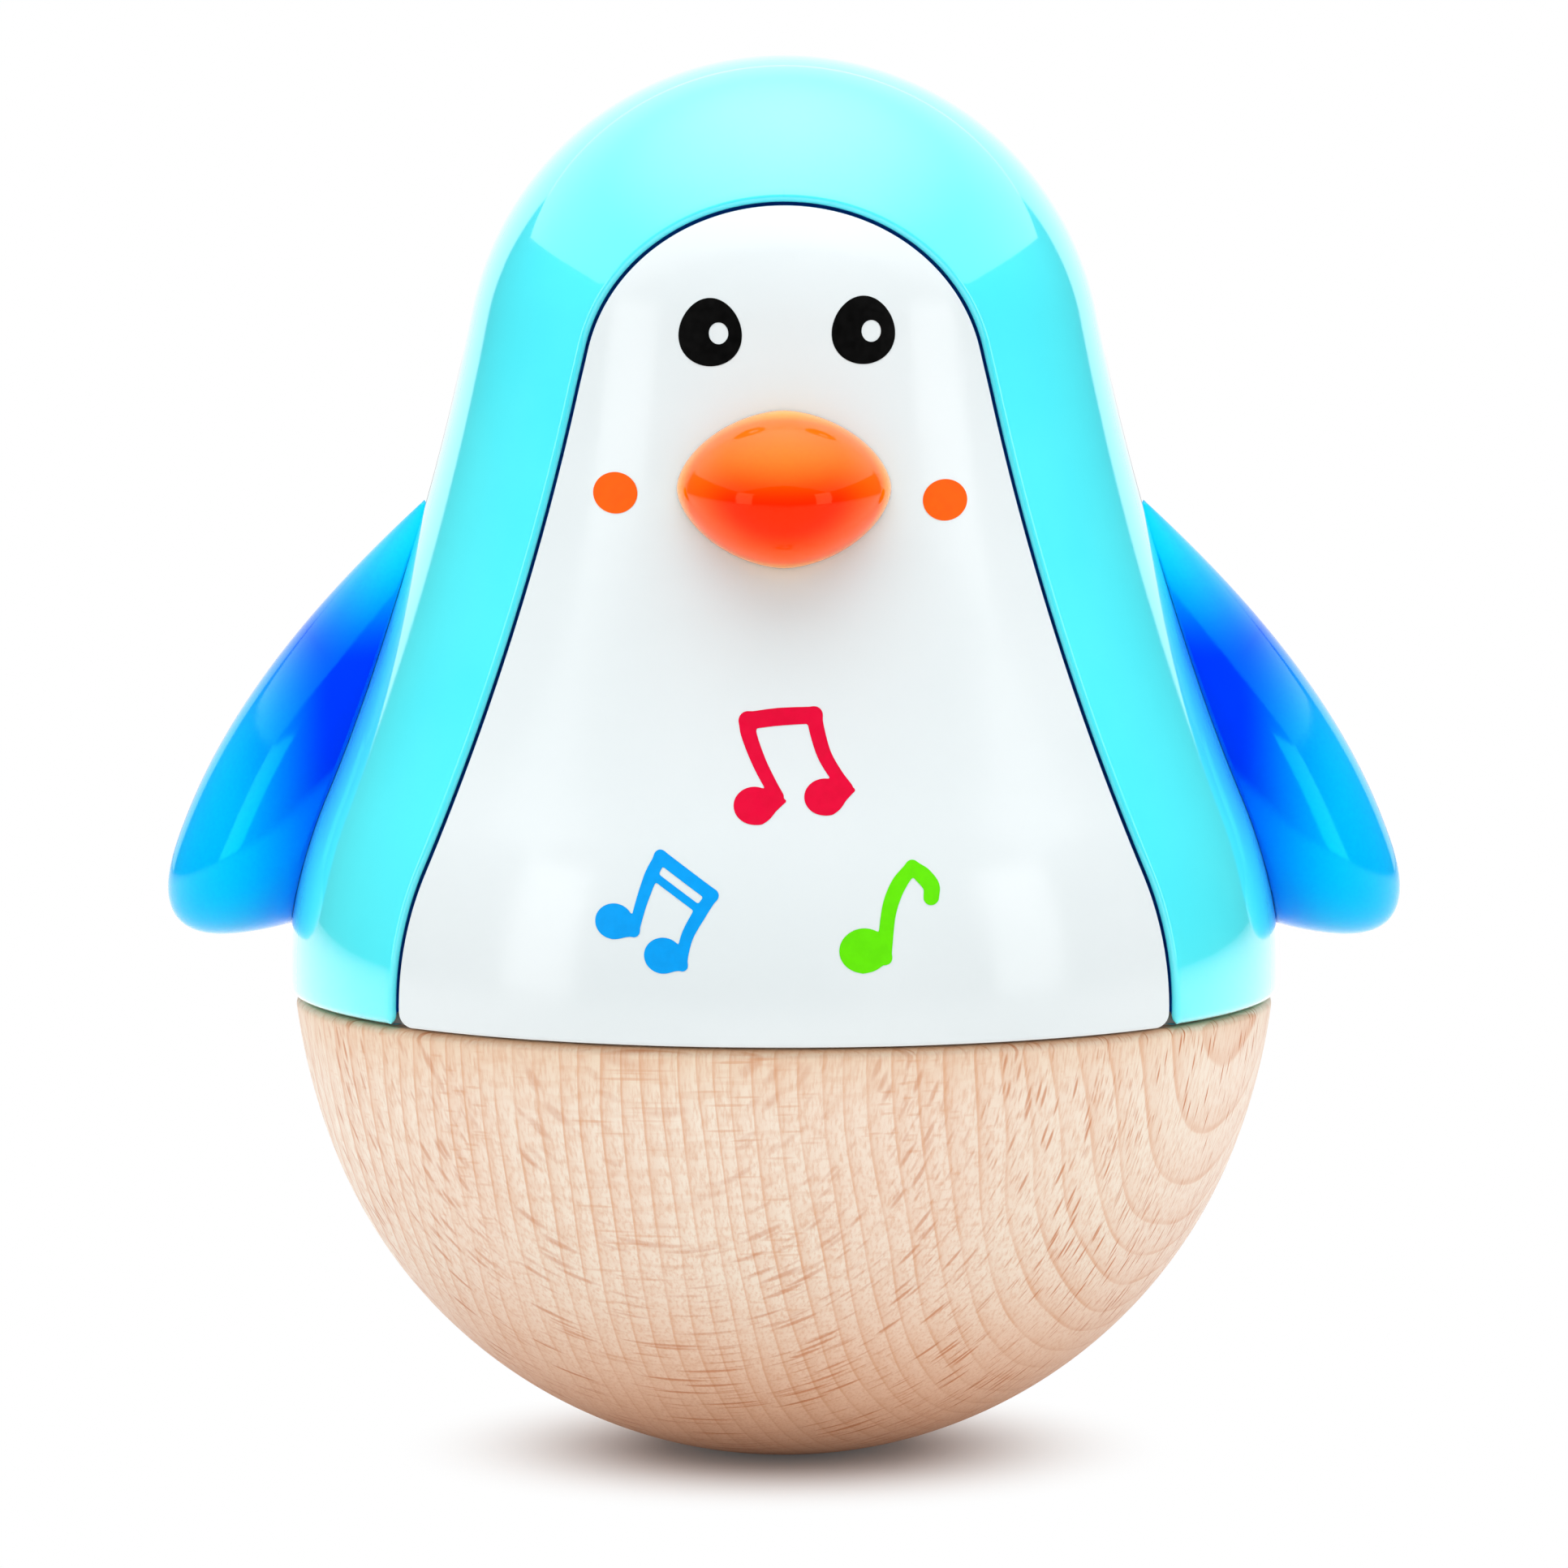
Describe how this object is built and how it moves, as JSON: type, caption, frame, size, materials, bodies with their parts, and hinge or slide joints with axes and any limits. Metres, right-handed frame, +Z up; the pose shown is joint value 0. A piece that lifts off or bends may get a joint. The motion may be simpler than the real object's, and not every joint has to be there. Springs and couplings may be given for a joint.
{
  "type": "roly poly toy",
  "caption": "Round-bottomed penguin wobble toy: weighted wooden bowl, moulded hood with white front panel, beak and wings, and a swinging clapper chime inside.",
  "frame": {"origin": "the middle of the small flat that the bowl stands on, under its axis", "axes": "+Z up along the toy's axis, -Y out of the face, +X to the right of someone who looks at the face"},
  "size_m": [0.1154, 0.0922, 0.13],
  "materials": {
    "beech": "sanded and clear lacquered, satin",
    "hood_plastic": "polished moulding, high gloss",
    "panel_plastic": "polished moulding with printed inks",
    "wing_plastic": "polished moulding, high gloss",
    "beak_plastic": "polished moulding, high gloss",
    "inner_plastic": "as moulded",
    "cast_weight": "as cast",
    "screw_steel": "zinc plated",
    "chime_steel": "drawn bright rod",
    "bead_wood": "turned bead, waxed"
  },
  "bodies": {
    "toy": {"wood_base": "beech", "ballast_weight": "cast_weight", "ballast_screw": "screw_steel", "base_plate": "inner_plastic", "base_plate_screws": "screw_steel", "body_hood": "hood_plastic", "front_panel": "panel_plastic", "front_panel_screws": "screw_steel", "beak": "beak_plastic", "beak_screws": "screw_steel", "left_wing": "wing_plastic", "right_wing": "wing_plastic", "left_wing_screws": "screw_steel", "right_wing_screws": "screw_steel", "chime_frame": "inner_plastic", "chime_frame_screws": "screw_steel", "chime_rod_1": "chime_steel", "chime_rod_2": "chime_steel", "chime_rod_3": "chime_steel", "chime_rod_4": "chime_steel", "chime_rod_5": "chime_steel", "chime_rod_6": "chime_steel", "chime_rod_7": "chime_steel", "chime_rod_8": "chime_steel", "link_pin": "screw_steel"},
    "link": {"clapper_link": "inner_plastic", "clapper_pin": "screw_steel"},
    "clapper": {"clapper_stem": "inner_plastic", "clapper_ball": "bead_wood"}
  },
  "joints": [
    {"name": "link_swing", "type": "hinge", "parent": "toy", "child": "link", "pos_m": [0, 0, 0.1], "axis": [1, 0, 0], "range_deg": [-8.7, 8.7]},
    {"name": "clapper_swing", "type": "hinge", "parent": "link", "child": "clapper", "pos_m": [0, 0, 0.093], "axis": [0, 1, 0], "range_deg": [-10.6, 10.6]}
  ]
}
